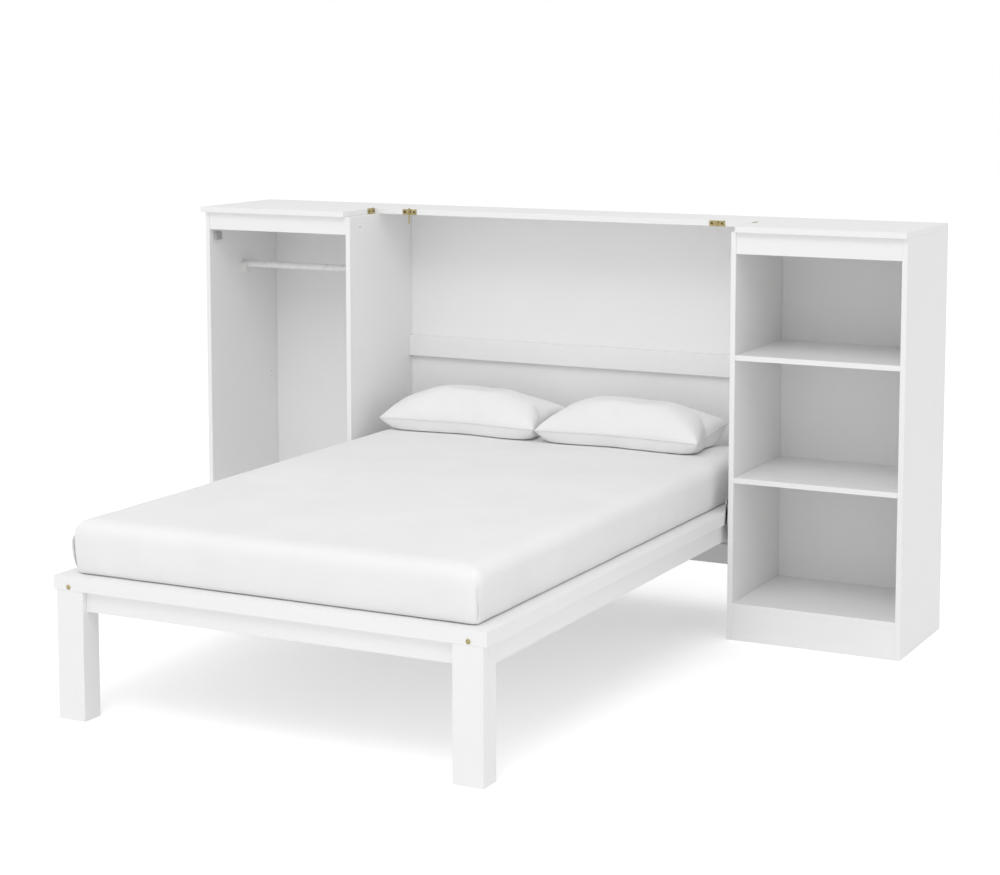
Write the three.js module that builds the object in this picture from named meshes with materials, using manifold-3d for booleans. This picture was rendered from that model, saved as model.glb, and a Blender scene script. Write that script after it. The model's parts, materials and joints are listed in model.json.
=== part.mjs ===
// Murphy wall bed between an open wardrobe and a bookcase.
// Millimetres, +Z up, +X to the right as seen from the foot of the bed, +Y towards the wall.
// The bed is drawn folded down. It swings up about a level pin in each niche wall.
import * as THREE from 'three';
import { mergeVertices } from 'three/addons/utils/BufferGeometryUtils.js';
import Module from 'manifold-3d';

const wasm = await Module();
wasm.setup();

// ---- Driving dimensions ----

// Cabinets
const BOARD = 18;              // panels, shelves, headers, cleats and kick boards
const TOP = 20;                // top boards
const HEIGHT = 1405;           // floor to the upper face of the tops
const DEPTH = 467;             // cabinet front to the wall
const NICHE = 1474;            // clear width between the inner side panels
const WARDROBE = 630;          // outside width, panels included
const BOOKCASE = 603;
const HEADERS = { wardrobe: 65, bookcase: 73 }; // height of the rail under each side top
const KICK = 109;              // kick board height, which carries the floor shelf
const RECESS = 2;              // headers, kicks and shelves sit this far behind the panel fronts
const BACK = 6;                // back panels
const BACK_INSET = 5;          // from the wall to a back panel
const TOP_FRONT_OVERHANG = 16;
const TOP_LEFT_OVERHANG = 12;
const EDGE = 1;                // chamfer that breaks every board edge
const SHELF_TOPS = { shelf_lower: 557, shelf_upper: 973 };

// Wardrobe fittings
const ROD_RADIUS = 12.5;
const ROD_HEIGHT = 1173;
const ROD_Y = 228;
const ROD_END_GAP = 2;
const SADDLE = { halfWidth: 19, drop: 34, rise: 5, depth: 20, clearance: 0.5 };
const CATCH = { width: 40, height: 28, thickness: 12, y: 46, z: 1292 };
const SHELF_PEG_HOLE = { radius: 3, depth: 9, y: 412, heights: [710, 730] };

// Centre section
const CENTRE_TOP_FRONT = 209;  // the centre top starts here, leaving a slot in front for the bed
const CLEATS = { upper_cleat: [828, 906], lower_cleat: [151, 222] };
const STOP_HOLE = { radius: 4, depth: 9, y: 73, z: 1344 };

// Brass latch hardware on the tops
const LATCH_X = 605;
const LATCH_PLATE = { width: 58, thickness: 2 };
const BARREL_RADIUS = 4;
const PIN_RADIUS = 2.5;
const PIN_CLEARANCE = 0.08;
const PIN_DROP = 32;           // how far the pin hangs below the centre top
const PIN_HEAD = { radius: 4, height: 3, gap: 1 };
const STRIKE_PLATE = { length: 46, thickness: 3, rise: 2, y: 182 };

// Bed
const BED_WIDTH = 1450;
const FOOT_Y = -1742;          // front face of the foot rail
const HEAD_Y = 400;            // rear face of the head rail
const RAIL_TOP = 435;
const RAIL_THICKNESS = 42;
const RAIL_WIDTH = 90;
const APRON_HEIGHT = 62;
const APRON_RECESS = 18;       // foot apron behind the leg fronts
const LEG = { width: 95, depth: 76, inset: 11, setback: 1 };
const DECK = 12;
const DECK_SEAM = 2;
const CROSS_RAILS = 4;
const CROSS_RAIL_WIDTH = 60;
const BOLT = { x: 669, z: 404, shank: 4, length: 140, head: 7.5, headHeight: 4 };
const BOLT_CLEARANCE = 0.3;

// Bedding
const MATTRESS = { width: 1372, length: 2090, height: 165, corner: 45, edge: 16, inset: 30 };
const MATTRESS_GAP = 1;
const PILLOW = { halfWidth: 312, halfDepth: 150, halfHeight: 82, y: 218, gap: 3 };
const PILLOW_X = { pillow_left: -347, pillow_right: 283 };
const PILLOW_SQUARENESS = 4;   // exponent of the plan outline: 2 is an ellipse, more is squarer

// Pivots
const PIVOT_Y = 28;
const PIVOT_Z = 455;
const PIVOT_PIN = 8;
const PIVOT_PIN_TIP_GAP = 0.5; // between the pin's tip and the side of the bed
const PIVOT_CLEARANCE = 0.08;
const LUG_FOOT_GAP = 2;        // from a lug's lower edge to the rail's lower edge
const PIVOT_PLATE = { thickness: 3, radius: 24, length: 60, height: 70 };
const WASHER = { outer: 15, gap: 0.5 };

const ROUND = 24;              // sides of a small round piece

// ---- Derived places ----

const panelTop = HEIGHT - TOP;
const nicheHalf = NICHE / 2;
const wardrobeLeft = -nicheHalf - WARDROBE;
const bookcaseRight = nicheHalf + BOOKCASE;
const backRear = DEPTH - BACK_INSET;
const backFront = backRear - BACK;
const bedHalf = BED_WIDTH / 2;
const railBottom = RAIL_TOP - RAIL_THICKNESS;
const apronBottom = railBottom - APRON_HEIGHT;
const legFront = FOOT_Y + LEG.setback;
const legRear = legFront + LEG.depth;
const legOuter = bedHalf - LEG.inset;
const legInner = legOuter - LEG.width;
const deckFront = FOOT_Y + RAIL_WIDTH;
const deckRear = HEAD_Y - RAIL_WIDTH;
const deckHalf = bedHalf - RAIL_WIDTH;
const mattressFront = FOOT_Y + MATTRESS.inset;
const mattressTop = RAIL_TOP + MATTRESS_GAP + MATTRESS.height;

// ---- Materials ----

function paint() {
  return new THREE.MeshStandardMaterial({ color: 0xf2f2f1, roughness: 0.45, metalness: 0 });
}

function brass() {
  return new THREE.MeshStandardMaterial({ color: 0x8f7f55, roughness: 0.35, metalness: 1 });
}

function steel() {
  return new THREE.MeshStandardMaterial({ color: 0xb9bcc0, roughness: 0.4, metalness: 1 });
}

function plastic() {
  return new THREE.MeshStandardMaterial({ color: 0x77777a, roughness: 0.6, metalness: 0 });
}

function whitePlastic() {
  return new THREE.MeshStandardMaterial({ color: 0xededec, roughness: 0.4, metalness: 0 });
}

function cotton() {
  return new THREE.MeshStandardMaterial({ color: 0xf4f4f4, roughness: 0.95, metalness: 0 });
}

// ---- Geometry helpers ----

const alongX = new THREE.Matrix4().makeBasis(
  new THREE.Vector3(0, 1, 0),
  new THREE.Vector3(0, 0, 1),
  new THREE.Vector3(1, 0, 0),
);

// Keeps only the positions, with shared vertices merged.
function welded(geometry) {
  const bare = geometry.clone();
  bare.deleteAttribute('normal');
  bare.deleteAttribute('uv');
  return mergeVertices(bare);
}

function solid(geometry) {
  const shell = welded(geometry);
  return new wasm.Manifold(new wasm.Mesh({
    numProp: 3,
    vertProperties: new Float32Array(shell.attributes.position.array),
    triVerts: new Uint32Array(shell.index.array),
  }));
}

function fromSolid(manifold) {
  const mesh = manifold.getMesh();
  const geometry = new THREE.BufferGeometry();
  geometry.setAttribute('position', new THREE.BufferAttribute(mesh.vertProperties, 3));
  geometry.setIndex(new THREE.BufferAttribute(mesh.triVerts, 1));
  geometry.computeVertexNormals();
  return geometry;
}

function cut(geometry, ...tools) {
  return fromSolid(tools.reduce((body, tool) => body.subtract(solid(tool)), solid(geometry)));
}

function join(geometry, ...others) {
  return fromSolid(others.reduce((body, other) => body.add(solid(other)), solid(geometry)));
}

// A box centred on the origin with every edge chamfered: 6 faces, 12 edges and 8 corners.
function chamferedBox(width, depth, height, chamfer) {
  const half = [width / 2, depth / 2, height / 2];
  const corner = (signs, proud) => new THREE.Vector3(
    ...half.map((size, axis) => signs[axis] * (axis === proud ? size : size - chamfer)),
  );
  const positions = [];
  const addFace = (points) => {
    const normal = new THREE.Triangle(points[0], points[1], points[2]).getNormal(new THREE.Vector3());
    const ring = normal.dot(points[0]) > 0 ? points : [...points].reverse();
    for (let i = 1; i < ring.length - 1; i += 1) {
      positions.push(...ring[0].toArray(), ...ring[i].toArray(), ...ring[i + 1].toArray());
    }
  };
  const sides = [-1, 1];
  for (let axis = 0; axis < 3; axis += 1) {
    const next = (axis + 1) % 3;
    const last = (axis + 2) % 3;
    const signs = (a, b, c) => {
      const out = [];
      out[axis] = a;
      out[next] = b;
      out[last] = c;
      return out;
    };
    for (const a of sides) {
      addFace([[-1, -1], [1, -1], [1, 1], [-1, 1]].map(([b, c]) => corner(signs(a, b, c), axis)));
      for (const b of sides) {
        addFace([
          corner(signs(a, b, -1), axis),
          corner(signs(a, b, 1), axis),
          corner(signs(a, b, 1), next),
          corner(signs(a, b, -1), next),
        ]);
      }
    }
  }
  for (const a of sides) {
    for (const b of sides) {
      for (const c of sides) {
        addFace([0, 1, 2].map((proud) => corner([a, b, c], proud)));
      }
    }
  }
  const geometry = new THREE.BufferGeometry();
  geometry.setAttribute('position', new THREE.Float32BufferAttribute(positions, 3));
  return mergeVertices(geometry);
}

function roundBar(radius, length, axis) {
  const bar = new THREE.CylinderGeometry(radius, radius, length, ROUND);
  if (axis === 'x') bar.rotateZ(Math.PI / 2);
  if (axis === 'z') bar.rotateX(Math.PI / 2);
  return bar;
}

// A shape drawn in Y and Z, given a thickness along X and centred on it.
function plateAcrossX(shape, thickness) {
  const plate = new THREE.ExtrudeGeometry(shape, {
    depth: thickness,
    bevelEnabled: false,
    curveSegments: ROUND / 2,
  });
  plate.translate(0, 0, -thickness / 2);
  return plate.applyMatrix4(alongX);
}

// ---- Scene helpers ----

// Moves the drawing frame (niche centre, cabinet front) to the middle of the floor outline.
const model = new THREE.Group();
const left = wardrobeLeft - TOP_LEFT_OVERHANG;
const front = FOOT_Y - BOLT.headHeight;
model.position.set(-(left + bookcaseRight) / 2, -(front + DEPTH) / 2, 0);

function add(name, geometry, material, x = 0, y = 0, z = 0) {
  const mesh = new THREE.Mesh(geometry, material);
  mesh.name = name;
  mesh.position.set(x, y, z);
  model.add(mesh);
  return mesh;
}

const middle = ([from, to]) => (from + to) / 2;

// A painted board filling the given ranges. Cutting tools are given in the board's own frame.
function board(name, xs, ys, zs, tools = []) {
  const box = chamferedBox(xs[1] - xs[0], ys[1] - ys[0], zs[1] - zs[0], EDGE);
  const geometry = tools.length ? cut(box, ...tools) : box;
  return add(name, geometry, paint(), middle(xs), middle(ys), middle(zs));
}

// ---- Cabinets ----

// Round blind holes in a side panel's face, opening towards side (-1 left, 1 right).
function panelHoles(side, holes) {
  return holes.map(({ radius, depth, y, z }) => {
    const drill = roundBar(radius, depth * 2, 'x');
    return drill.translate(side * (BOARD / 2), y - DEPTH / 2, z - panelTop / 2);
  });
}

function cabinet(prefix, xs, topXs, leftHoles = [], rightHoles = []) {
  const inside = [xs[0] + BOARD, xs[1] - BOARD];
  const fullDepth = [0, DEPTH];
  const fullHeight = [0, panelTop];
  board(`${prefix}_left_panel`, [xs[0], inside[0]], fullDepth, fullHeight, leftHoles);
  board(`${prefix}_right_panel`, [inside[1], xs[1]], fullDepth, fullHeight, rightHoles);
  board(`${prefix}_top`, topXs, [-TOP_FRONT_OVERHANG, DEPTH], [panelTop, HEIGHT]);
  const headerZs = [panelTop - HEADERS[prefix], panelTop];
  board(`${prefix}_header`, inside, [RECESS, RECESS + BOARD], headerZs);
  board(`${prefix}_kick`, inside, [RECESS, RECESS + BOARD], [0, KICK]);
  board(`${prefix}_floor`, inside, [RECESS, backFront], [KICK, KICK + BOARD]);
  board(`${prefix}_back`, inside, [backFront, backRear], [KICK, panelTop]);
}

function wardrobe() {
  const xs = [wardrobeLeft, -nicheHalf];
  const topXs = [left, xs[1] - BOARD];
  const { radius, depth, y, heights } = SHELF_PEG_HOLE;
  const pegHoles = heights.map((z) => ({ radius, depth, y, z }));
  cabinet('wardrobe', xs, topXs, panelHoles(1, pegHoles), panelHoles(1, [STOP_HOLE]));
  hangingRod(xs[0] + BOARD, xs[1] - BOARD);
  const x = xs[0] + BOARD + CATCH.thickness / 2;
  const box = chamferedBox(CATCH.thickness, CATCH.width, CATCH.height, EDGE);
  add('wardrobe_corner_block', box, plastic(), x, CATCH.y, CATCH.z);
}

// A U-shaped saddle, open at the top, that the rod drops into.
function saddleGeometry() {
  const { halfWidth, drop, rise, depth, clearance } = SADDLE;
  const slot = ROD_RADIUS + clearance;
  const outline = new THREE.Shape();
  outline.moveTo(-halfWidth, rise);
  outline.lineTo(-halfWidth, -drop);
  outline.lineTo(halfWidth, -drop);
  outline.lineTo(halfWidth, rise);
  outline.lineTo(slot, rise);
  outline.lineTo(slot, 0);
  outline.absarc(0, 0, slot, 0, -Math.PI, true);
  outline.lineTo(-slot, rise);
  return plateAcrossX(outline, depth);
}

function hangingRod(fromX, toX) {
  const length = toX - fromX - 2 * ROD_END_GAP;
  const rod = roundBar(ROD_RADIUS, length, 'x');
  add('hanging_rod', rod, whitePlastic(), (fromX + toX) / 2, ROD_Y, ROD_HEIGHT);
  const reach = SADDLE.depth / 2;
  add('rod_saddle_left', saddleGeometry(), whitePlastic(), fromX + reach, ROD_Y, ROD_HEIGHT);
  add('rod_saddle_right', saddleGeometry(), whitePlastic(), toX - reach, ROD_Y, ROD_HEIGHT);
}

function bookcase() {
  const xs = [nicheHalf, bookcaseRight];
  const topXs = [xs[0] + BOARD, xs[1]];
  cabinet('bookcase', xs, topXs, panelHoles(-1, [STOP_HOLE]));
  const inside = [xs[0] + BOARD, xs[1] - BOARD];
  for (const [name, z] of Object.entries(SHELF_TOPS)) {
    board(name, inside, [RECESS, backFront], [z - BOARD, z]);
  }
}

function centreSection() {
  const seat = nicheHalf + BOARD;
  const nicheXs = [-nicheHalf, nicheHalf];
  board('centre_top', [-seat, seat], [CENTRE_TOP_FRONT, DEPTH], [panelTop, HEIGHT]);
  board('centre_back', nicheXs, [backFront, backRear], [CLEATS.lower_cleat[0], panelTop]);
  for (const [name, zs] of Object.entries(CLEATS)) {
    board(name, nicheXs, [backFront - BOARD, backFront], zs);
  }
}

// ---- Brass hardware ----

// A flat plate with a vertical barrel on its front, bored for the latch pin.
function latchPlateGeometry() {
  const plate = new THREE.BoxGeometry(LATCH_PLATE.width, LATCH_PLATE.thickness, TOP);
  const barrelY = -BARREL_RADIUS;
  const barrel = roundBar(BARREL_RADIUS, TOP, 'z').translate(0, barrelY, 0);
  const bore = roundBar(PIN_RADIUS + PIN_CLEARANCE, TOP * 2, 'z').translate(0, barrelY, 0);
  return cut(join(plate, barrel), bore);
}

function latchPinGeometry() {
  const tipZ = -TOP / 2 - PIN_DROP;
  const headBottom = TOP / 2 + PIN_HEAD.gap;
  const shank = roundBar(PIN_RADIUS, headBottom - tipZ, 'z').translate(0, 0, (headBottom + tipZ) / 2);
  const head = roundBar(PIN_HEAD.radius, PIN_HEAD.height, 'z');
  return join(shank, head.translate(0, 0, headBottom + PIN_HEAD.height / 2));
}

function brassHardware() {
  const plateY = CENTRE_TOP_FRONT - LATCH_PLATE.thickness / 2;
  const z = HEIGHT - TOP / 2;
  const strikeX = nicheHalf + BOARD - STRIKE_PLATE.thickness / 2;
  const strikeHeight = TOP + STRIKE_PLATE.rise;
  for (const [side, sign] of [['left', -1], ['right', 1]]) {
    add(`latch_plate_${side}`, latchPlateGeometry(), brass(), sign * LATCH_X, plateY, z);
    const strike = new THREE.BoxGeometry(STRIKE_PLATE.thickness, STRIKE_PLATE.length, strikeHeight);
    const strikeZ = HEIGHT + STRIKE_PLATE.rise - strikeHeight / 2;
    add(`strike_plate_${side}`, strike, brass(), sign * strikeX, STRIKE_PLATE.y, strikeZ);
  }
  add('latch_pin', latchPinGeometry(), brass(), -LATCH_X, plateY - BARREL_RADIUS, z);
}

// ---- Bed frame ----

// A round-headed bolt along +Y, the underside of its head at y = 0. It pulls the foot rail
// against the end of a side rail.
function boltGeometry() {
  const { shank, length, head, headHeight } = BOLT;
  const dome = new THREE.EllipseCurve(0, 0, head, headHeight, 0, Math.PI / 2).getPoints(5);
  const profile = [
    new THREE.Vector2(0, -length),
    new THREE.Vector2(shank, -length),
    new THREE.Vector2(shank, 0),
    ...dome,
  ];
  profile[profile.length - 1].x = 0;
  const bolt = new THREE.LatheGeometry(profile, ROUND);
  return bolt.rotateX(Math.PI);
}

// The bolt's hole, in the frame of a rail whose middle is at boardY and x to its left.
function boltHole(x, boardY) {
  const drill = roundBar(BOLT.shank + BOLT_CLEARANCE, 2 * (BOLT.length + BOLT_CLEARANCE), 'y');
  return drill.translate(x, FOOT_Y - boardY, BOLT.z - (railBottom + RAIL_TOP) / 2);
}

function bedFrame() {
  const railZs = [railBottom, RAIL_TOP];
  const apronZs = [apronBottom, railBottom];
  const apronFront = legFront + APRON_RECESS;
  const sideRailYs = [deckFront, HEAD_Y];
  const sideRailMiddle = middle([deckHalf, bedHalf]);
  board('foot_rail', [-bedHalf, bedHalf], [FOOT_Y, deckFront], railZs, [
    boltHole(-BOLT.x, FOOT_Y + RAIL_WIDTH / 2),
    boltHole(BOLT.x, FOOT_Y + RAIL_WIDTH / 2),
  ]);
  board('head_rail', [-deckHalf, deckHalf], [deckRear, HEAD_Y], railZs);
  board('foot_apron', [-legInner, legInner], [apronFront, apronFront + BOARD], apronZs);
  for (const [side, sign] of [['left', -1], ['right', 1]]) {
    const across = (from, to) => [sign * from, sign * to].sort((a, b) => a - b);
    const hole = boltHole(sign * (BOLT.x - sideRailMiddle), middle(sideRailYs));
    board(`side_rail_${side}`, across(deckHalf, bedHalf), sideRailYs, railZs, [hole]);
    const apronXs = across(legOuter - BOARD, legOuter);
    board(`side_apron_${side}`, apronXs, [legRear, HEAD_Y - BOARD], apronZs);
    board(`foot_leg_${side}`, across(legInner, legOuter), [legFront, legRear], [0, railBottom]);
    add(`frame_bolt_${side}`, boltGeometry(), brass(), sign * BOLT.x, FOOT_Y, BOLT.z);
  }
  deck(apronZs);
}

// Cross rails between the side aprons carry two deck panels, let in flush between the rails.
function deck([crossBottom]) {
  const halfSpan = legOuter - BOARD;
  const crossTop = railBottom;
  const pitch = (deckRear - deckFront) / (CROSS_RAILS + 1);
  for (let i = 1; i <= CROSS_RAILS; i += 1) {
    const y = deckFront + i * pitch;
    const ys = [y - CROSS_RAIL_WIDTH / 2, y + CROSS_RAIL_WIDTH / 2];
    board(`cross_rail_${i}`, [-halfSpan, halfSpan], ys, [crossBottom + BOARD, crossTop]);
  }
  const seam = middle([deckFront, deckRear]);
  const zs = [RAIL_TOP - DECK, RAIL_TOP];
  board('deck_foot', [-deckHalf, deckHalf], [deckFront, seam - DECK_SEAM / 2], zs);
  board('deck_head', [-deckHalf, deckHalf], [seam + DECK_SEAM / 2, deckRear], zs);
  board('centre_beam', [-BOARD, BOARD], [deckFront, deckRear], [railBottom, RAIL_TOP - DECK]);
}

// ---- Pivots ----

// A plate with rounded ends, in Y and Z about the pin axis, with an optional hole for the pin.
function pivotPlate(reach, drop, hole) {
  const { radius, thickness } = PIVOT_PLATE;
  const outline = new THREE.Shape();
  outline.moveTo(-reach, -drop);
  outline.lineTo(reach, -drop);
  outline.lineTo(radius, 0);
  outline.absarc(0, 0, radius, 0, Math.PI, false);
  if (hole) {
    const bore = new THREE.Path();
    bore.absarc(0, 0, hole, 0, Math.PI * 2, true);
    outline.holes.push(bore);
  }
  return plateAcrossX(outline, thickness);
}

function pivots() {
  const { thickness, length, height } = PIVOT_PLATE;
  const pinTip = bedHalf + PIVOT_PIN_TIP_GAP;
  const wallPlate = nicheHalf - thickness / 2;
  const pinLength = wallPlate - pinTip;
  const drop = PIVOT_Z - railBottom - LUG_FOOT_GAP;
  const bore = PIVOT_PIN + PIVOT_CLEARANCE;
  const washerSpan = [bedHalf + thickness + WASHER.gap, nicheHalf - thickness - WASHER.gap];
  for (const [side, sign] of [['left', -1], ['right', 1]]) {
    const pin = roundBar(PIVOT_PIN, pinLength, 'x').translate(-sign * (pinLength / 2), 0, 0);
    const bracket = join(pivotPlate(length / 2, height, 0), pin);
    add(`cabinet_pivot_${side}`, bracket, steel(), sign * wallPlate, PIVOT_Y, PIVOT_Z);
    const lug = pivotPlate(length / 2, drop, bore / Math.cos(Math.PI / ROUND));
    add(`bed_pivot_${side}`, lug, steel(), sign * (bedHalf + thickness / 2), PIVOT_Y, PIVOT_Z);
    const washer = washerGeometry(bore, washerSpan[1] - washerSpan[0]);
    add(`pivot_washer_${side}`, washer, plastic(), sign * middle(washerSpan), PIVOT_Y, PIVOT_Z);
  }
}

function washerGeometry(bore, thickness) {
  const inner = bore / Math.cos(Math.PI / ROUND);
  const half = thickness / 2;
  const section = [
    [inner, -half],
    [WASHER.outer, -half],
    [WASHER.outer, half],
    [inner, half],
    [inner, -half],
  ];
  const profile = section.map(([r, h]) => new THREE.Vector2(r, h));
  const washer = new THREE.LatheGeometry(profile, ROUND);
  return washer.rotateZ(Math.PI / 2);
}

// ---- Bedding ----

function roundedRectangle(width, length, radius) {
  const x = width / 2;
  const y = length / 2;
  const shape = new THREE.Shape();
  shape.absarc(x - radius, y - radius, radius, 0, Math.PI / 2, false);
  shape.absarc(-x + radius, y - radius, radius, Math.PI / 2, Math.PI, false);
  shape.absarc(-x + radius, -y + radius, radius, Math.PI, Math.PI * 1.5, false);
  shape.absarc(x - radius, -y + radius, radius, Math.PI * 1.5, Math.PI * 2, false);
  return shape;
}

function mattress() {
  const { width, length, height, corner, edge } = MATTRESS;
  const slab = new THREE.ExtrudeGeometry(roundedRectangle(width, length, corner), {
    depth: height - 2 * edge,
    bevelThickness: edge,
    bevelSize: edge,
    bevelOffset: -edge,
    bevelSegments: 3,
    curveSegments: 4,
  });
  slab.translate(0, 0, edge);
  const y = mattressFront + length / 2;
  add('mattress', welded(slab), cotton(), 0, y, RAIL_TOP + MATTRESS_GAP);
}

// A cushion with a squarish outline and an elliptical section, its seam level with its middle.
function pillowGeometry() {
  const ball = welded(new THREE.SphereGeometry(1, 32, 12).rotateX(Math.PI / 2));
  const points = ball.attributes.position;
  const n = PILLOW_SQUARENESS;
  for (let i = 0; i < points.count; i += 1) {
    const angle = Math.atan2(points.getY(i), points.getX(i));
    const stretch = (Math.abs(Math.cos(angle)) ** n + Math.abs(Math.sin(angle)) ** n) ** (-1 / n);
    points.setXYZ(
      i,
      points.getX(i) * stretch * PILLOW.halfWidth,
      points.getY(i) * stretch * PILLOW.halfDepth,
      points.getZ(i) * PILLOW.halfHeight,
    );
  }
  ball.computeVertexNormals();
  return ball;
}

function pillows() {
  const z = mattressTop + PILLOW.gap + PILLOW.halfHeight;
  for (const [name, x] of Object.entries(PILLOW_X)) {
    add(name, pillowGeometry(), cotton(), x, PILLOW.y, z);
  }
}

wardrobe();
bookcase();
centreSection();
brassHardware();
bedFrame();
pivots();
mattress();
pillows();

export default model;
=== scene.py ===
"""Murphy wall bed: bedding, small fittings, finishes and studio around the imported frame.

Lengths are in metres, +Z up, +X to the right seen from the foot of the bed, +Y to the wall.
"""
import json
import math

import bmesh
import bpy
from mathutils import Euler, Matrix, Vector, noise
from mathutils.bvhtree import BVHTree


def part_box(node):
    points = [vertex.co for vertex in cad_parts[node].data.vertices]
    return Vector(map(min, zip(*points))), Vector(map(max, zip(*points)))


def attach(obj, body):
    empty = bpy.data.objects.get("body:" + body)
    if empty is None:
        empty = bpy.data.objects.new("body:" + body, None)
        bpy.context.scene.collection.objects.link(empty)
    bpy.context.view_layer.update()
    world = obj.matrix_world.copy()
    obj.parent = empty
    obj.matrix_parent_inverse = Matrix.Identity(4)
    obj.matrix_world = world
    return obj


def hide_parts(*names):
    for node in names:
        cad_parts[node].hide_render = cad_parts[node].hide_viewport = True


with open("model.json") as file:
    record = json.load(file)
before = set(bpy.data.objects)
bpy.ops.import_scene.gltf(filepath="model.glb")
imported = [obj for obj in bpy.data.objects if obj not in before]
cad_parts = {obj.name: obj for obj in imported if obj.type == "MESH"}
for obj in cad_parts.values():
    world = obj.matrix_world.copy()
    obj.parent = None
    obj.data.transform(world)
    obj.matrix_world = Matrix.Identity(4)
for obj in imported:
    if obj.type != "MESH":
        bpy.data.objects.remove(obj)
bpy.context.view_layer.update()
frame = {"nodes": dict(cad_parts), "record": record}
SCENE = bpy.context.scene

MM = 0.001

# ---- Camera and light ----

CAMERA_PLACE = Vector((3.3956, -6.2125, 1.9681))
CAMERA_YAW = 0.4724            # radians to the left of +Y
CAMERA_PITCH = 0.1105          # radians below the horizon
LENS = 79.38                   # on a 36 mm wide sensor
SHIFT_Y = -0.1375              # frames the bed low enough for the raised pose too

AMBIENT = 0.79                 # strength of the even white surroundings
FLOOR_GLOW = 0.10              # lights the underside of things a little
FLOOR_WHITEN = 0.22            # added to the floor as it is seen, for a pure white ground
FLOOR_SIZE = 60.0
KEY_PLACE = (2.7, -9.0, 12.0)
KEY_TARGET = (0, -0.2, 0.5)
KEY_SIZE = 7.0
KEY_POWER = 335
OVERHEAD_PLACE = (0.3, -2.6, 4.5)
OVERHEAD_TARGET = (0, -0.9, 0.6)
OVERHEAD_SIZE = 3.0
OVERHEAD_POWER = 22

# ---- Bedding ----

MATTRESS_VOXEL = 12 * MM       # cloth mesh spacing
MATTRESS_START_INSET = 5 * MM  # how much smaller the cover starts, before it is inflated
MATTRESS_CAP = 7 * MM          # the furthest that the air pressure may move a point
MATTRESS_BULGE = 8 * MM        # how far the sides swell past the plain slab
MATTRESS_CORNER = 28 * MM      # plan radius of the four corners
MATTRESS_TOP_EDGE = 40 * MM    # radius of the edge round the top
MATTRESS_TUCK = 9 * MM         # how far the sides draw in at the bottom
MATTRESS_HEM = 5 * MM          # height at which the sides start to rise
MATTRESS_SOLE = 12 * MM        # height under which the lower edge is pressed flat
MATTRESS_SAG = 1.6 * MM        # unevenness of the top
MATTRESS_PULL = 2.2 * MM       # unevenness of the sides towards the hem
FOLD_HEART = 150 * MM          # inset, from both sides, of the point that a corner fold turns about
FOLD_REACH = 260 * MM          # distance from that point, outside the cover
FOLD_TOP = 40 * MM             # how far below the mattress's top the fold starts
FOLD_FOOT = 8 * MM             # how far above its bottom the fold ends
FOLD_LIFT = 9 * MM             # how far the free edge stands off the cover
FOLD_TURN = math.radians(6.5)  # the flap's width, as an angle seen from that point
FOLD_THICKNESS = 1.6 * MM
PILLOW_STEP = 9 * MM           # cloth grid spacing
PILLOW_CAP = 60 * MM
PILLOW_TIGHTEN = 1.08          # flat case size over filled size
PILLOW_DOME = 0.16             # height of each layer before it is inflated, over the depth
PILLOW_DRAW_X = 0.02           # how far the flat case's side edges bow in, over half the width
PILLOW_DRAW_Y = 0.05           # how far its front and rear edges do, over half the depth
PILLOW_SEAM = 0.27             # height of the seam over the pillow's height
PILLOW_REAR_LIFT = 0.2         # how much higher the rear seam lies, leant towards the wall
PILLOW_SLACK = 6 * MM          # how much lower the filled case stands than the plain solid
PILLOW_FULLNESS = 1.12         # exponent of the rise: below 1 fills out the shoulders
PILLOW_REAR_FULLNESS = 0.2     # how much fuller the rear shoulder is
PILLOW_BELLY = 2.3             # above 1 the case rests flat on the mattress, further out if more
SEAM_RADIUS = 1.5 * MM
SEAM_SIDES = 6

# ---- Fittings ----

SCREW_RADIUS = 4.2 * MM
CAP_RADIUS = 3.5 * MM
SCREW_SIDES = 24
LATCH_SCREW_OFFSET = 19 * MM   # from the middle of a latch plate, along its length
STRIKE_SCREW_OFFSET = 15 * MM


# ---------------------------------------------------------------- node helpers

NOISE_LOW, NOISE_HIGH = 0.3, 0.7   # the stretch of a noise's values that varies a colour or gloss


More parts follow.
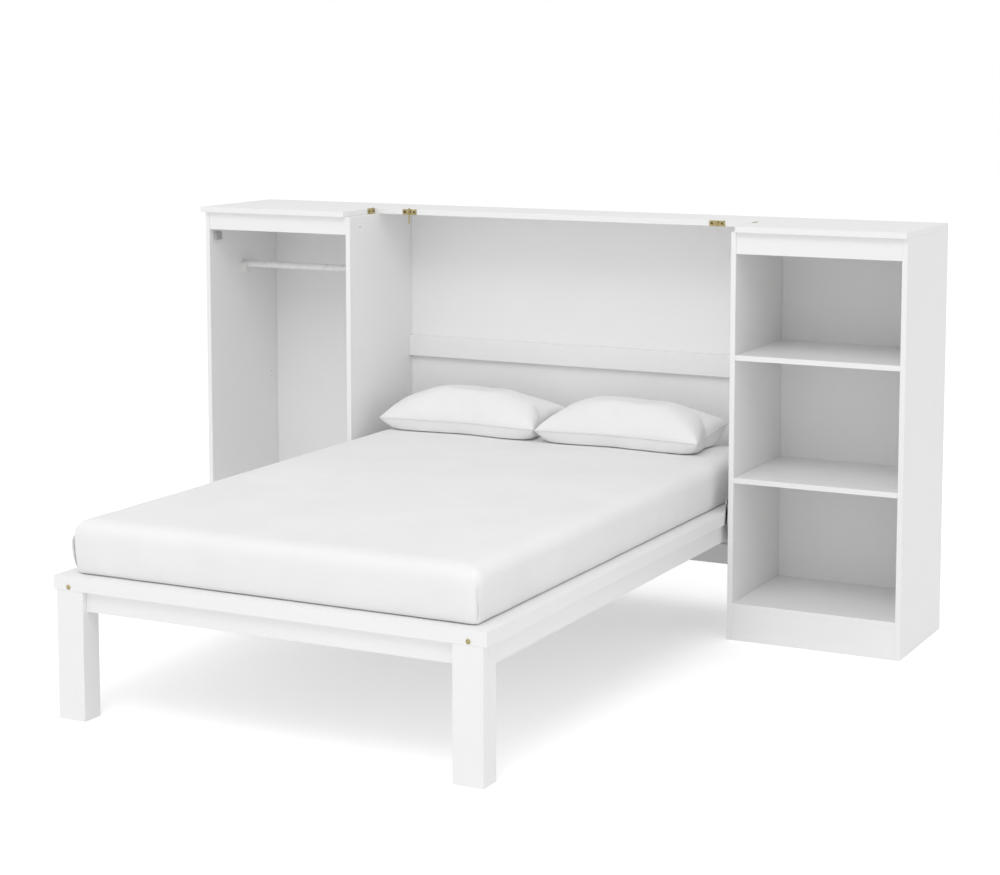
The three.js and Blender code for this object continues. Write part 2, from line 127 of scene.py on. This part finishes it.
class Shader:
    """A Principled material with short calls for the nodes the finishes need."""

    def __init__(self, name, color, roughness, metallic=0.0):
        self.material = bpy.data.materials.new(name)
        self.material.use_nodes = True
        self.tree = self.material.node_tree
        self.bsdf = self.tree.nodes["Principled BSDF"]
        self.bsdf.inputs["Base Color"].default_value = (*color, 1)
        self.bsdf.inputs["Roughness"].default_value = roughness
        self.bsdf.inputs["Metallic"].default_value = metallic
        self.coords = self.tree.nodes.new("ShaderNodeTexCoord")

    def node(self, kind, **settings):
        made = self.tree.nodes.new(kind)
        for key, value in settings.items():
            setattr(made, key, value)
        return made

    def link(self, source, target):
        self.tree.links.new(source, target)

    def scaled(self, scale):
        mapping = self.node("ShaderNodeMapping")
        mapping.inputs["Scale"].default_value = scale
        self.link(self.coords.outputs["Object"], mapping.inputs["Vector"])
        return mapping.outputs["Vector"]

    def noise(self, scale, detail=3.0, stretch=(1, 1, 1), roughness=0.55):
        made = self.node("ShaderNodeTexNoise")
        made.inputs["Scale"].default_value = scale
        made.inputs["Detail"].default_value = detail
        made.inputs["Roughness"].default_value = roughness
        self.link(self.scaled(stretch), made.inputs["Vector"])
        return made.outputs["Fac"]

    def ramp(self, value, low, high, start, end):
        """value from start..end is spread over the colours low..high."""
        made = self.node("ShaderNodeValToRGB")
        stops = made.color_ramp.elements
        stops[0].position, stops[1].position = start, end
        stops[0].color, stops[1].color = (*low, 1), (*high, 1)
        self.link(value, made.inputs["Fac"])
        return made.outputs["Color"]

    def math(self, operation, a, b):
        made = self.node("ShaderNodeMath", operation=operation)
        for socket, value in zip(made.inputs, (a, b)):
            if isinstance(value, (int, float)):
                socket.default_value = value
            else:
                self.link(value, socket)
        return made.outputs["Value"]

    def vary_color(self, value, low, high, start=NOISE_LOW, end=NOISE_HIGH):
        self.link(self.ramp(value, low, high, start, end), self.bsdf.inputs["Base Color"])

    def vary_roughness(self, value, low, high):
        made = self.node("ShaderNodeMapRange")
        made.inputs["From Min"].default_value = NOISE_LOW
        made.inputs["From Max"].default_value = NOISE_HIGH
        made.inputs["To Min"].default_value = low
        made.inputs["To Max"].default_value = high
        self.link(value, made.inputs["Value"])
        self.link(made.outputs["Result"], self.bsdf.inputs["Roughness"])

    def bump(self, height, distance, under=None):
        """A bump of that height in metres, laid over another bump's normal if given."""
        made = self.node("ShaderNodeBump")
        made.inputs["Distance"].default_value = distance
        made.inputs["Strength"].default_value = 1.0
        self.link(height, made.inputs["Height"])
        if under is not None:
            self.link(under, made.inputs["Normal"])
        return made.outputs["Normal"]

    def finish(self, normal):
        self.link(normal, self.bsdf.inputs["Normal"])
        return self.material


def lighter(color, factor):
    """The colour times the factor, at most white."""
    return tuple(min(1.0, c * factor) for c in color)


# ---------------------------------------------------------------- finishes

BOARD_COLOR = (0.88, 0.88, 0.878)


def painted_board(name, grain_axis):
    """Satin lacquer over board: faint grain along one axis, roller stipple, uneven gloss."""
    shader = Shader(name, BOARD_COLOR, 0.42)
    stretch = [1.0, 1.0, 1.0]
    stretch[grain_axis] = 0.035
    grain = shader.noise(260, 4, tuple(stretch))
    clouds = shader.noise(2.3, 2)
    tone = shader.math("ADD", shader.math("MULTIPLY", clouds, 0.6),
                       shader.math("MULTIPLY", grain, 0.4))
    shader.vary_color(tone, lighter(BOARD_COLOR, 0.982), lighter(BOARD_COLOR, 1.012))
    shader.vary_roughness(shader.noise(9, 3), 0.36, 0.5)
    stipple = shader.bump(shader.noise(1400, 2), 0.00006)
    return shader.finish(shader.bump(grain, 0.00007, stipple))


def enamel(name, color, roughness):
    """Even paint or moulded plastic, with a fine orange-peel surface and handling marks."""
    shader = Shader(name, color, roughness)
    shader.vary_color(shader.noise(35, 3), lighter(color, 0.95), lighter(color, 1.03))
    shader.vary_roughness(shader.noise(60, 4), roughness * 0.8, roughness * 1.25)
    return shader.finish(shader.bump(shader.noise(1900, 2), 0.00002))


def metal(name, color, roughness, brush_axis, tarnish):
    """Brushed metal with fine scratches along one axis and darker tarnish in patches."""
    shader = Shader(name, color, roughness, 1.0)
    stretch = [1.0, 1.0, 1.0]
    stretch[brush_axis] = 0.04
    brushed = shader.noise(2200, 3, tuple(stretch))
    patches = shader.noise(90, 4)
    shader.vary_color(patches, lighter(color, tarnish), color, 0.35, 0.62)
    shader.vary_roughness(shader.math("MULTIPLY", shader.math("ADD", brushed, patches), 0.5),
                          roughness * 0.75, roughness * 1.35)
    return shader.finish(shader.bump(brushed, 0.00004))


def woven(name, color, period, wrinkle_scale, wrinkle_depth):
    """Plain-weave cotton: threads along the two axes that lie in the surface, and creases."""
    shader = Shader(name, color, 0.85)
    shader.bsdf.inputs["Sheen Weight"].default_value = 0.1
    shader.bsdf.inputs["Sheen Roughness"].default_value = 0.5
    shader.bsdf.inputs["Specular IOR Level"].default_value = 0.2
    position = shader.node("ShaderNodeSeparateXYZ")
    shader.link(shader.coords.outputs["Object"], position.inputs["Vector"])
    facing = shader.node("ShaderNodeSeparateXYZ")
    shader.link(shader.coords.outputs["Normal"], facing.inputs["Vector"])
    threads = None
    for axis in ("X", "Y", "Z"):
        angle = shader.math("MULTIPLY", position.outputs[axis], 2 * math.pi / period)
        wave = shader.math("SINE", angle, 0.0)
        tilt = shader.math("ABSOLUTE", facing.outputs[axis], 0.0)
        lies_in = shader.math("SUBTRACT", 1.0, tilt)
        part = shader.math("MULTIPLY", wave, lies_in)
        threads = part if threads is None else shader.math("ADD", threads, part)
    slubs = shader.noise(420, 3)
    clouds = shader.noise(4.2, 3)
    tone = shader.math("ADD", shader.math("MULTIPLY", clouds, 0.65),
                       shader.math("MULTIPLY", slubs, 0.35))
    shader.vary_color(tone, lighter(color, 0.965), lighter(color, 1.02))
    shader.vary_roughness(slubs, 0.78, 0.93)
    weave = shader.bump(shader.math("ADD", threads, shader.math("MULTIPLY", slubs, 2.0)),
                        0.00007)
    creases = shader.noise(wrinkle_scale, 4, roughness=0.5)
    return shader.finish(shader.bump(creases, wrinkle_depth, weave))


BOARD = [painted_board(f"board_white_{'xyz'[axis]}", axis) for axis in range(3)]
ROD_WHITE = enamel("rod_white", (0.84, 0.84, 0.835), 0.3)
PLASTIC_WHITE = enamel("plastic_white", (0.82, 0.82, 0.81), 0.45)
PLASTIC_GREY = enamel("plastic_grey", (0.45, 0.45, 0.452), 0.55)
BRASS = metal("brass", (0.62, 0.52, 0.27), 0.42, 0, 0.6)
AGED_BRASS = metal("aged_brass", (0.17, 0.125, 0.06), 0.5, 0, 0.5)
PIVOT_STEEL = metal("pivot_steel", (0.55, 0.56, 0.58), 0.34, 1, 0.7)
SHEET_COTTON = woven("sheet_cotton", (0.925, 0.925, 0.927), 0.0009, 9, 0.0025)
PILLOW_COTTON = woven("pillow_cotton", (0.925, 0.925, 0.927), 0.0008, 13, 0.0035)
SLOT_FINISH = {
    "rod_white": ROD_WHITE,
    "plastic_white": PLASTIC_WHITE,
    "plastic_grey": PLASTIC_GREY,
    "brass": BRASS,
    "pivot_steel": PIVOT_STEEL,
}


def finish_cad_nodes():
    """Gives each CAD node the finish listed for its slot, or else painted board. A board's grain
    runs along its longest side.
    """
    slots = {entry["node"]: entry["material_slot"] for entry in frame["record"]["subparts"]}
    for name, node in frame["nodes"].items():
        material = SLOT_FINISH.get(slots[name])
        if material is None:
            low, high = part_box(name)
            sides = [high[axis] - low[axis] for axis in range(3)]
            material = BOARD[sides.index(max(sides))]
        if not node.material_slots:
            node.data.materials.append(material)
        for material_slot in node.material_slots:
            material_slot.material = material


# ---------------------------------------------------------------- mesh helpers

def add_piece(name, mesh, material, body):
    """A new object of that mesh and material, riding on the body."""
    piece = bpy.data.objects.new(name, mesh)
    SCENE.collection.objects.link(piece)
    mesh.materials.clear()
    mesh.materials.append(material)
    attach(piece, body)
    return piece


def smooth(mesh):
    for polygon in mesh.polygons:
        polygon.use_smooth = True


def apply_modifiers(piece):
    """Replaces the piece's mesh with its evaluated one and drops its modifiers."""
    graph = bpy.context.evaluated_depsgraph_get()
    mesh = bpy.data.meshes.new_from_object(piece.evaluated_get(graph))
    piece.modifiers.clear()
    old = piece.data
    piece.data = mesh
    bpy.data.meshes.remove(old)


def inflate(piece, pressure, frames, cap, stiffness, bending):
    """Cloth with air pressure and no gravity. No point ends further than cap from its start."""
    start = [vertex.co.copy() for vertex in piece.data.vertices]
    cloth = piece.modifiers.new("cloth", "CLOTH")
    settings = cloth.settings
    settings.quality = 6
    settings.mass = 0.3
    settings.tension_stiffness = stiffness
    settings.compression_stiffness = stiffness
    settings.shear_stiffness = stiffness * 0.5
    settings.bending_stiffness = bending
    settings.use_pressure = True
    settings.uniform_pressure_force = pressure
    settings.effector_weights.gravity = 0
    cloth.point_cache.frame_start = 1
    cloth.point_cache.frame_end = frames
    for number in range(1, frames + 1):
        SCENE.frame_set(number)
    graph = bpy.context.evaluated_depsgraph_get()
    settled = piece.evaluated_get(graph).to_mesh()
    moved = [vertex.co.copy() for vertex in settled.vertices]
    piece.evaluated_get(graph).to_mesh_clear()
    piece.modifiers.remove(cloth)
    for vertex, before, after in zip(piece.data.vertices, start, moved):
        step = after - before
        if step.length > cap:
            step.length = cap
        vertex.co = before + step
    SCENE.frame_set(1)


def add_ring_tube(shell, points, radius, sides):
    """Adds to the bmesh a round tube that runs through the points and back to the first."""
    count = len(points)
    rings = []
    for index, point in enumerate(points):
        ahead = points[(index + 1) % count] - points[index - 1]
        turn = ahead.to_track_quat("Z", "X")
        ring = []
        for side in range(sides):
            angle = 2 * math.pi * side / sides
            offset = Vector((math.cos(angle), math.sin(angle), 0)) * radius
            ring.append(shell.verts.new(point + turn @ offset))
        rings.append(ring)
    for index in range(count):
        a, b = rings[index], rings[(index + 1) % count]
        shift = 0
        if index == count - 1:
            shift = min(range(sides), key=lambda s: (b[s].co - a[0].co).length)
        for side in range(sides):
            follow = (side + 1) % sides
            shell.faces.new((a[side], a[follow], b[(follow + shift) % sides],
                             b[(side + shift) % sides]))


# ---------------------------------------------------------------- mattress

def mattress_outline(half_x, half_y, radius, inset):
    """Points round a rounded rectangle, anticlockwise, always the same number of them."""
    points = []
    turn = max(radius - inset, 2 * MM)
    for quarter in range(4):
        angle = quarter * math.pi / 2
        sign_x = 1 if quarter in (0, 3) else -1
        sign_y = 1 if quarter in (0, 1) else -1
        centre_x = sign_x * (half_x - inset - turn)
        centre_y = sign_y * (half_y - inset - turn)
        for step in range(9):
            bend = angle + step / 8 * math.pi / 2
            points.append((centre_x + turn * math.cos(bend), centre_y + turn * math.sin(bend)))
    return points


def mattress_profile(height):
    """(inset, z) pairs up the side: tucked in below, fullest past the middle, then rounded over."""
    side_top = height - MATTRESS_TOP_EDGE
    pairs = [(MATTRESS_TUCK + 2 * MM, 0), (MATTRESS_TUCK, MATTRESS_HEM)]
    for step in range(1, 9):
        t = step / 8
        pairs.append((MATTRESS_TUCK * (1 - math.sin(t * math.pi / 2)) ** 1.3,
                      MATTRESS_HEM + t * (side_top - MATTRESS_HEM)))
    for step in range(1, 7):
        bend = step / 6 * math.pi / 2
        pairs.append((MATTRESS_TOP_EDGE * (1 - math.cos(bend)),
                      side_top + MATTRESS_TOP_EDGE * math.sin(bend)))
    return pairs


def mattress_shell(half, low_z):
    """A closed slab lofted up the profile, in the mattress's own place but about x = y = 0."""
    shell = bmesh.new()
    rings = []
    for inset, z in mattress_profile(2 * half.z):
        outline = mattress_outline(half.x, half.y, MATTRESS_CORNER, inset)
        rings.append([shell.verts.new((x, y, low_z + z)) for x, y in outline])
    for lower, upper in zip(rings, rings[1:]):
        for index in range(len(lower)):
            after = (index + 1) % len(lower)
            shell.faces.new((lower[index], lower[after], upper[after], upper[index]))
    shell.faces.new(list(reversed(rings[0])))
    shell.faces.new(rings[-1])
    mesh = bpy.data.meshes.new("mattress_cover")
    shell.to_mesh(mesh)
    shell.free()
    return mesh


def surface_point(tree, outside, inside):
    """Where a line from outside towards inside first meets the cover, and the way out there."""
    way = (inside - outside).normalized()
    place = tree.ray_cast(outside, way)[0]
    return (place if place is not None else inside), -way


def add_corner_fold(shell, tree, low, high, side_x, side_y):
    """The sheet's folded corner: a flap from the long side, its free edge down the corner."""
    corner_x = high.x if side_x > 0 else low.x
    corner_y = high.y if side_y > 0 else low.y
    heart = Vector((corner_x - side_x * FOLD_HEART, corner_y - side_y * FOLD_HEART, 0))
    rows = 18
    columns = 4
    sheets = []
    for level in (0, 1):
        sheet = []
        for row in range(rows + 1):
            t = row / rows
            z = high.z - FOLD_TOP - t * (high.z - low.z - FOLD_TOP - FOLD_FOOT)
            open_by = math.sin(math.pi * min(1.0, 0.12 + t * 0.95)) ** 0.5 * min(1.0, t * 5)
            line = []
            for column in range(columns + 1):
                u = column / columns
                swing = math.pi / 4 + FOLD_TURN * (1 - u * (0.6 + 0.4 * open_by))
                swing -= FOLD_TURN * (0.15 * math.sin(4.2 * t + side_x) + 0.9 * t ** 8)
                way = Vector((side_x * math.sin(swing), side_y * math.cos(swing), 0))
                outside = heart + way * FOLD_REACH
                outside.z = z
                place, out = surface_point(tree, outside, Vector((heart.x, heart.y, z)))
                lift = (u ** 2 * FOLD_LIFT * open_by + (level - 0.6) * FOLD_THICKNESS
                        - (1 - open_by) * 1.2 * MM)
                line.append(shell.verts.new(place + out * lift))
            sheet.append(line)
        sheets.append(sheet)
    inner, outer = sheets
    for row in range(rows):
        for column in range(columns):
            for sheet in (inner, outer):
                shell.faces.new((sheet[row][column], sheet[row][column + 1],
                                 sheet[row + 1][column + 1], sheet[row + 1][column]))
        for column in (0, columns):
            shell.faces.new((inner[row][column], outer[row][column],
                             outer[row + 1][column], inner[row + 1][column]))
    for row in (0, rows):
        for column in range(columns):
            shell.faces.new((inner[row][column], outer[row][column],
                             outer[row][column + 1], inner[row][column + 1]))


def make_mattress():
    """The fitted sheet over the mattress: a lofted slab, inflated as cloth, with four folds."""
    low, high = map(Vector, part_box("mattress"))
    centre = (low + high) / 2
    half = (high - low) / 2
    grown = Vector((half.x + MATTRESS_BULGE - MATTRESS_START_INSET,
                    half.y + MATTRESS_BULGE - MATTRESS_START_INSET,
                    half.z - MATTRESS_START_INSET / 2))
    mesh = mattress_shell(grown, low.z)
    mesh.transform(Matrix.Translation((centre.x, centre.y, 0)))
    piece = add_piece("mattress_cover", mesh, SHEET_COTTON, "bed")
    remesh = piece.modifiers.new("voxels", "REMESH")
    remesh.mode = "VOXEL"
    remesh.voxel_size = MATTRESS_VOXEL
    relax = piece.modifiers.new("relax", "SMOOTH")
    relax.factor = 0.4
    relax.iterations = 2
    apply_modifiers(piece)
    inflate(piece, pressure=4.0, frames=16, cap=MATTRESS_CAP, stiffness=20, bending=2.0)
    height_span = high.z - low.z
    for vertex in piece.data.vertices:
        place = vertex.co
        across = (place.x - centre.x) / half.x
        along = (place.y - centre.y) / half.y
        height = (place.z - low.z) / height_span
        sag = noise.noise(Vector((place.x * 2.1, place.y * 2.1, 4.0))) * MATTRESS_SAG
        pull = noise.noise(Vector((place.x * 9, place.y * 9, place.z * 3)))
        hem = max(0.0, 1 - height / 0.45) * pull * MATTRESS_PULL
        place.z += sag * (height > 0.5)
        place.x += hem * (abs(across) > 0.93) * (1 if across > 0 else -1)
        place.y += hem * (abs(along) > 0.95) * (1 if along > 0 else -1)
        above = place.z - low.z
        if above < MATTRESS_SOLE:
            above = max(0.0, above) ** 2 / MATTRESS_SOLE
        place.z = min(low.z + above, high.z)
    finer = piece.modifiers.new("finer", "SUBSURF")
    finer.levels = finer.render_levels = 1
    apply_modifiers(piece)
    shell = bmesh.new()
    shell.from_mesh(piece.data)
    tree = BVHTree.FromBMesh(shell)
    for side_x in (-1, 1):
        for side_y in (-1, 1):
            add_corner_fold(shell, tree, low, high, side_x, side_y)
    bmesh.ops.recalc_face_normals(shell, faces=shell.faces)
    shell.to_mesh(piece.data)
    shell.free()
    smooth(piece.data)
    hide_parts("mattress")


# ---------------------------------------------------------------- pillows

def pillow_case(width, depth, seed):
    """Two layers of cloth sewn round the edge, laid nearly flat, with slightly pulled-in sides.

    With the mesh come the seam's vertices in order, and each vertex's place in the grid: u and v
    from -1 to 1, and its layer, which is 0 on the seam.
    """
    across = round(width / PILLOW_STEP)
    along = round(depth / PILLOW_STEP)
    shell = bmesh.new()
    layers = {}
    grid = []
    for layer in (-1, 1):
        for i in range(across + 1):
            for j in range(along + 1):
                border = i in (0, across) or j in (0, along)
                if border and layer == 1:
                    layers[layer, i, j] = layers[-1, i, j]
                    continue
                u, v = 2 * i / across - 1, 2 * j / along - 1
                x = u * width / 2 * (1 - PILLOW_DRAW_X * (1 - v * v))
                y = v * depth / 2 * (1 - PILLOW_DRAW_Y * (1 - u * u))
                dome = ((1 - u ** 4) * (1 - v ** 4)) ** 0.6 * depth * PILLOW_DOME
                dome *= 1 + 0.12 * noise.noise(Vector((u * 2, v * 2, seed)))
                layers[layer, i, j] = shell.verts.new((x, y, layer * dome))
                grid.append((u, v, 0 if border else layer))
    for layer in (-1, 1):
        for i in range(across):
            for j in range(along):
                corners = [layers[layer, i, j], layers[layer, i + 1, j],
                           layers[layer, i + 1, j + 1], layers[layer, i, j + 1]]
                shell.faces.new(corners if layer == 1 else reversed(corners))
    seam = [layers[1, i, 0] for i in range(across)]
    seam += [layers[1, across, j] for j in range(along)]
    seam += [layers[1, i, along] for i in range(across, 0, -1)]
    seam += [layers[1, 0, j] for j in range(along, 0, -1)]
    shell.verts.index_update()
    order = [vertex.index for vertex in seam]
    mesh = bpy.data.meshes.new("pillow_case")
    shell.to_mesh(mesh)
    shell.free()
    return mesh, order, grid


def make_pillow(node, seed, lean):
    """A filled pillow case resting flat on the mattress, turned a little about +Z by lean."""
    low, high = map(Vector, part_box(node))
    size = high - low
    centre = (low + high) / 2
    mesh, seam, grid = pillow_case(size.x * PILLOW_TIGHTEN, size.y * PILLOW_TIGHTEN, seed)
    piece = add_piece(f"{node}_case", mesh, PILLOW_COTTON, "bed")
    inflate(piece, pressure=6.0, frames=22, cap=PILLOW_CAP, stiffness=25, bending=0.6)
    relax = piece.modifiers.new("relax", "SMOOTH")
    relax.factor = 0.5
    relax.iterations = 14
    apply_modifiers(piece)
    places = [vertex.co.copy() for vertex in piece.data.vertices]
    half = [max(abs(place[axis]) for place in places) for axis in range(3)]
    for vertex, place, (across, along, layer) in zip(piece.data.vertices, places, grid):
        u = place.x / half[0]
        v = (place.y / half[1] + along) / 2
        rear = max(0.0, v)
        z = seam_height = (PILLOW_SEAM + PILLOW_REAR_LIFT * rear) * size.z
        if layer == 1:
            rise = max(0.0, place.z / half[2])
            fullness = PILLOW_FULLNESS - PILLOW_REAR_FULLNESS * rear
            z += rise ** fullness * (size.z - PILLOW_SLACK - seam_height)
        elif layer == -1:
            belly = max(0.0, (1 - abs(across) ** 3) * (1 - abs(along) ** 3)) ** 0.6
            crease = 0.1 * noise.noise(Vector((place.x * 14, place.y * 14, seed)))
            z *= 1 - min(1.0, belly * (PILLOW_BELLY + crease))
        vertex.co = Vector((u * size.x / 2, v * size.y / 2, z))
    turn = Euler((0, 0, lean)).to_matrix()
    base = Vector((centre.x, centre.y, low.z))
    for vertex in piece.data.vertices:
        vertex.co = base + turn @ vertex.co
    seam_points = [piece.data.vertices[index].co.copy() for index in seam]
    finer = piece.modifiers.new("finer", "SUBSURF")
    finer.levels = finer.render_levels = 1
    apply_modifiers(piece)
    shell = bmesh.new()
    shell.from_mesh(piece.data)
    add_ring_tube(shell, seam_points, SEAM_RADIUS, SEAM_SIDES)
    shell.to_mesh(piece.data)
    shell.free()
    smooth(piece.data)
    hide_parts(node)


# ---------------------------------------------------------------- small fittings

def lathe(profile, sides):
    """A closed body of revolution about +Z from (radius, height) pairs; radius 0 is a pole."""
    shell = bmesh.new()
    rings = []
    for radius, height in profile:
        if radius == 0:
            rings.append([shell.verts.new((0, 0, height))])
            continue
        rings.append([
            shell.verts.new((radius * math.cos(2 * math.pi * k / sides),
                             radius * math.sin(2 * math.pi * k / sides), height))
            for k in range(sides)
        ])
    for lower, upper in zip(rings, rings[1:]):
        for k in range(sides):
            after = (k + 1) % sides
            if len(lower) == 1:
                shell.faces.new((lower[0], upper[after], upper[k]))
            elif len(upper) == 1:
                shell.faces.new((lower[k], lower[after], upper[0]))
            else:
                shell.faces.new((lower[k], lower[after], upper[after], upper[k]))
    return shell


def add_screw(name, place, outward, radius, material, cross=True):
    """A low domed screw head or cap on a surface, with a cross recess if it is a screw.

    Its outline and recess are set out as shares of its radius and of its rise.
    """
    rise = radius * 0.32
    sunk = radius * 0.35
    shell = lathe([
        (0, -sunk), (radius * 0.8, -sunk), (radius, 0), (radius * 0.97, rise * 0.45),
        (radius * 0.72, rise * 0.86), (radius * 0.4, rise), (0, rise),
    ], SCREW_SIDES)
    mesh = bpy.data.meshes.new(name)
    turn = Vector(outward).to_track_quat("Z", "Y").to_matrix().to_4x4()
    if cross:
        shell.to_mesh(mesh)
        head = bpy.data.objects.new(f"{name}_blank", mesh)
        SCENE.collection.objects.link(head)
        for angle in (0, math.pi / 2):
            bar = bmesh.new()
            bmesh.ops.create_cube(bar, size=1)
            bmesh.ops.scale(bar, vec=(radius * 1.25, radius * 0.24, rise * 1.4), verts=bar.verts)
            bmesh.ops.translate(bar, vec=(0, 0, rise), verts=bar.verts)
            bmesh.ops.rotate(bar, cent=(0, 0, 0), matrix=Matrix.Rotation(angle, 3, "Z"),
                             verts=bar.verts)
            cutter_mesh = bpy.data.meshes.new("cutter")
            bar.to_mesh(cutter_mesh)
            bar.free()
            cutter = bpy.data.objects.new("cutter", cutter_mesh)
            SCENE.collection.objects.link(cutter)
            cut = head.modifiers.new("cross", "BOOLEAN")
            cut.operation = "DIFFERENCE"
            cut.object = cutter
            cut.solver = "EXACT"
            apply_modifiers(head)
            bpy.data.objects.remove(cutter)
            bpy.data.meshes.remove(cutter_mesh)
        mesh = head.data.copy()
        mesh.name = name
        bpy.data.objects.remove(head)
    else:
        shell.to_mesh(mesh)
    shell.free()
    mesh.transform(Matrix.Translation(place) @ turn)
    add_piece(name, mesh, material, "cabinet")


def make_fittings():
    """Screws in the four brass plates, and small caps on the niche wall and the bookcase side."""
    for side in ("left", "right"):
        low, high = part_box(f"latch_plate_{side}")
        middle_x = (low[0] + high[0]) / 2
        plate_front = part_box("centre_top")[0][1] - 2 * MM
        for sign in (-1, 1):
            add_screw(f"latch_screw_{side}_{'ab'[sign > 0]}",
                      Vector((middle_x + sign * LATCH_SCREW_OFFSET, plate_front,
                              (low[2] + high[2]) / 2)),
                      (0, -1, 0), SCREW_RADIUS, AGED_BRASS)
        low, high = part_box(f"strike_plate_{side}")
        inner_x, outward = (high[0], 1) if side == "left" else (low[0], -1)
        for sign in (-1, 1):
            add_screw(f"strike_screw_{side}_{'ab'[sign > 0]}",
                      Vector((inner_x, (low[1] + high[1]) / 2 + sign * STRIKE_SCREW_OFFSET,
                              (low[2] + high[2]) / 2)),
                      (outward, 0, 0), SCREW_RADIUS, AGED_BRASS)
    low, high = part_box("wardrobe_right_panel")
    cleat_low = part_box("upper_cleat")[0]
    for number, (y, z) in enumerate(((cleat_low[1] - 6 * MM, cleat_low[2] - 10 * MM),
                                     (low[1] + 20 * MM, cleat_low[2] + 61 * MM),
                                     (low[1] + 67 * MM, cleat_low[2] + 58 * MM))):
        add_screw(f"niche_cap_{number}", Vector((high[0], y, z)), (1, 0, 0), CAP_RADIUS,
                  PLASTIC_WHITE, cross=False)
    low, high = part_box("bookcase_right_panel")
    for number, z in enumerate((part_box("bookcase_floor")[0][2] + 2 * MM, high[2] - 30 * MM)):
        add_screw(f"bookcase_cap_{number}", Vector((high[0], low[1] + 18 * MM, z)), (1, 0, 0),
                  CAP_RADIUS, PLASTIC_WHITE, cross=False)


# ---------------------------------------------------------------- studio

def make_studio():
    """White ground and surroundings, a large key light and a soft one over the bed."""
    bpy.ops.mesh.primitive_plane_add(size=FLOOR_SIZE, location=(0, 0, 0))
    floor = bpy.context.object
    floor.name = "studio_floor"
    shader = Shader("floor", (0.93, 0.93, 0.93), 0.75)
    shader.vary_color(shader.noise(1.5, 2), (0.925, 0.925, 0.925), (0.935, 0.935, 0.935))
    shader.bsdf.inputs["Emission Color"].default_value = (1, 1, 1, 1)
    path = shader.node("ShaderNodeLightPath")
    whiten = shader.math("MULTIPLY", path.outputs["Is Camera Ray"], FLOOR_WHITEN)
    shader.link(shader.math("ADD", whiten, FLOOR_GLOW), shader.bsdf.inputs["Emission Strength"])
    shader.bsdf.inputs["Specular IOR Level"].default_value = 0.1
    floor.data.materials.append(shader.material)

    world = bpy.data.worlds.new("studio")
    SCENE.world = world
    world.use_nodes = True
    background = world.node_tree.nodes["Background"]
    background.inputs["Color"].default_value = (1, 1, 1, 1)
    background.inputs["Strength"].default_value = AMBIENT
    seen = world.node_tree.nodes.new("ShaderNodeBackground")
    seen.inputs["Color"].default_value = (1, 1, 1, 1)
    seen.inputs["Strength"].default_value = 1.0
    path = world.node_tree.nodes.new("ShaderNodeLightPath")
    mix = world.node_tree.nodes.new("ShaderNodeMixShader")
    output = world.node_tree.nodes["World Output"]
    world.node_tree.links.new(path.outputs["Is Camera Ray"], mix.inputs["Fac"])
    world.node_tree.links.new(background.outputs["Background"], mix.inputs[1])
    world.node_tree.links.new(seen.outputs["Background"], mix.inputs[2])
    world.node_tree.links.new(mix.outputs["Shader"], output.inputs["Surface"])

    add_area("key", KEY_PLACE, KEY_TARGET, KEY_SIZE, KEY_POWER)
    add_area("overhead", OVERHEAD_PLACE, OVERHEAD_TARGET, OVERHEAD_SIZE, OVERHEAD_POWER)


def add_area(name, place, target, size, power):
    """A round area light that faces the target."""
    data = bpy.data.lights.new(name, "AREA")
    data.shape = "DISK"
    data.size = size
    data.energy = power
    lamp = bpy.data.objects.new(name, data)
    lamp.location = place
    lamp.rotation_euler = (Vector(target) - Vector(place)).to_track_quat("-Z", "Y").to_euler()
    SCENE.collection.objects.link(lamp)


def make_camera():
    data = bpy.data.cameras.new("camera")
    data.sensor_width = 36
    data.lens = LENS
    data.shift_y = SHIFT_Y
    data.clip_end = 200
    camera = bpy.data.objects.new("camera", data)
    camera.location = CAMERA_PLACE
    camera.rotation_euler = (math.pi / 2 - CAMERA_PITCH, 0, CAMERA_YAW)
    SCENE.collection.objects.link(camera)
    SCENE.camera = camera


SCENE.view_settings.view_transform = "Standard"
make_camera()
make_studio()
finish_cad_nodes()
make_mattress()
make_pillow("pillow_left", 1.0, 0.012)
make_pillow("pillow_right", 7.0, -0.006)
make_fittings()
